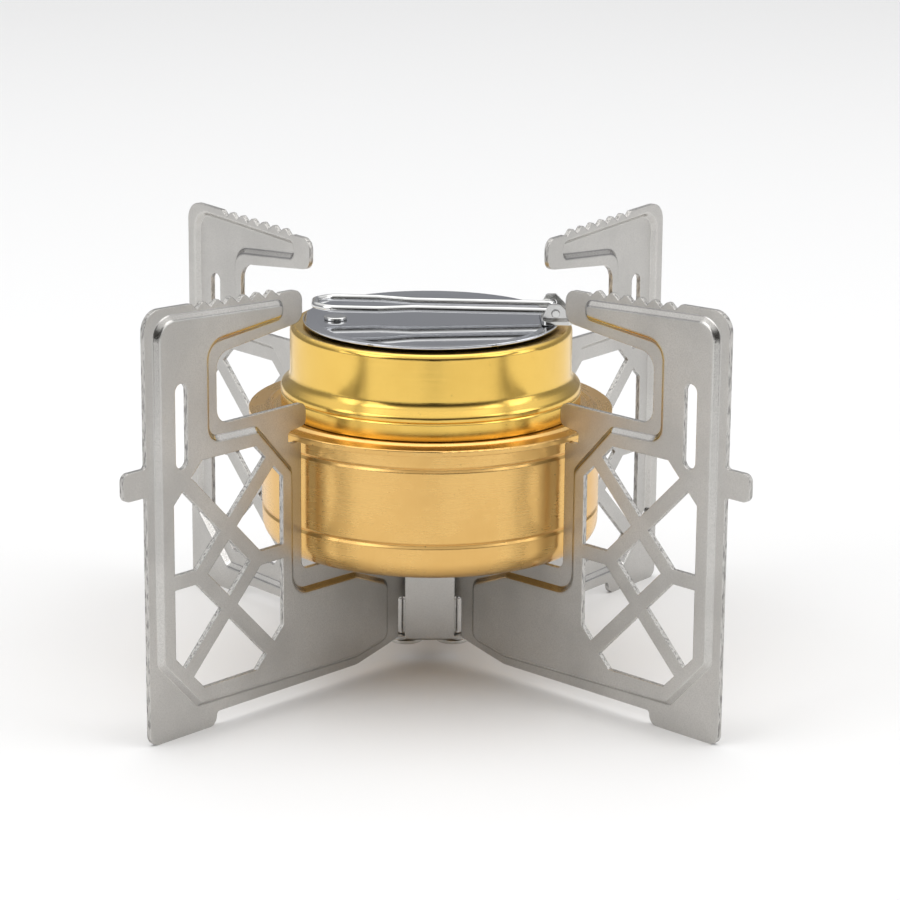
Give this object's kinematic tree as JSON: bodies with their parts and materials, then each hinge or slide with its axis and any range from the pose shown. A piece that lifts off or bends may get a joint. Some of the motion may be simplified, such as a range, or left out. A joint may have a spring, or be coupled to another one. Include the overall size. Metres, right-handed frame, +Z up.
{
  "type": "alcohol spirit stove",
  "caption": "Brass spirit burner with a flame regulator, held by a folding stand of stamped steel wings that open into a cross and carry a pot on toothed top edges.",
  "frame": {"origin": "on the ground at the middle of the opened stand", "axes": "+Z up, -Y to the front where the hinge bracket's web faces, +X to the right where the handle is hinged"},
  "size_m": [0.12, 0.122, 0.0865],
  "materials": {
    "stamped_steel": "satin bead-blasted stainless",
    "bracket_steel": "satin",
    "pin_steel": "turned, bright",
    "burner_brass": "satin",
    "regulator_brass": "satin",
    "polished_steel": "mirror polished",
    "wire_steel": "polished",
    "wick_felt": "felt"
  },
  "bodies": {
    "bracket": {"hinge_channel": "bracket_steel", "hinge_pins": "pin_steel", "knuckle_washers": "pin_steel", "pin_washers": "pin_steel"},
    "front_left": {"wing_front_left": "stamped_steel"},
    "front_right": {"wing_front_right": "stamped_steel"},
    "back_left": {"wing_back_left": "stamped_steel"},
    "back_right": {"wing_back_right": "stamped_steel"},
    "burner": {"burner_cup": "burner_brass", "burner_top": "burner_brass", "thread_ring": "burner_brass", "jet_ring": "burner_brass", "burner_well": "burner_brass", "burner_wick": "wick_felt"},
    "regulator": {"regulator_ring": "regulator_brass", "pivot_rivet": "polished_steel", "pivot_washer": "polished_steel"},
    "shutter": {"regulator_plate": "polished_steel", "handle_bracket": "polished_steel", "bracket_rivets": "polished_steel"},
    "handle": {"wire_handle": "wire_steel"}
  },
  "joints": [
    {"name": "front_left_fold", "type": "hinge", "parent": "bracket", "child": "front_left", "pos_m": [-0.0049, -0.0016, 0.0187], "axis": [0, 0, -1], "range_deg": [0, 46.7]},
    {"name": "front_right_fold", "type": "hinge", "parent": "bracket", "child": "front_right", "pos_m": [0.0049, -0.0016, 0.0187], "axis": [0, 0, 1], "range_deg": [0, 46.7]},
    {"name": "back_left_fold", "type": "hinge", "parent": "bracket", "child": "back_left", "pos_m": [-0.0049, -0.0016, 0.0096], "axis": [0, 0, 1], "range_deg": [0, 50.2]},
    {"name": "back_right_fold", "type": "hinge", "parent": "bracket", "child": "back_right", "pos_m": [0.0049, -0.0016, 0.0096], "axis": [0, 0, -1], "range_deg": [0, 50.2]},
    {"name": "burner_turn", "type": "hinge", "parent": "bracket", "child": "burner", "pos_m": [0, -0.0016, 0.027], "axis": [0, 0, 1], "continuous": true},
    {"name": "regulator_lift", "type": "slide", "parent": "burner", "child": "regulator", "axis": [0, 0, 1], "range_m": [0, 0.022]},
    {"name": "shutter_swing", "type": "hinge", "parent": "regulator", "child": "shutter", "pos_m": [-0.0196, -0.0016, 0.0725], "axis": [0, 0, 1], "range_deg": [-75, 75]},
    {"name": "handle_swing", "type": "hinge", "parent": "shutter", "child": "handle", "pos_m": [0.0252, -0.0016, 0.0753], "axis": [0, 1, 0], "range_deg": [0, 170]}
  ]
}
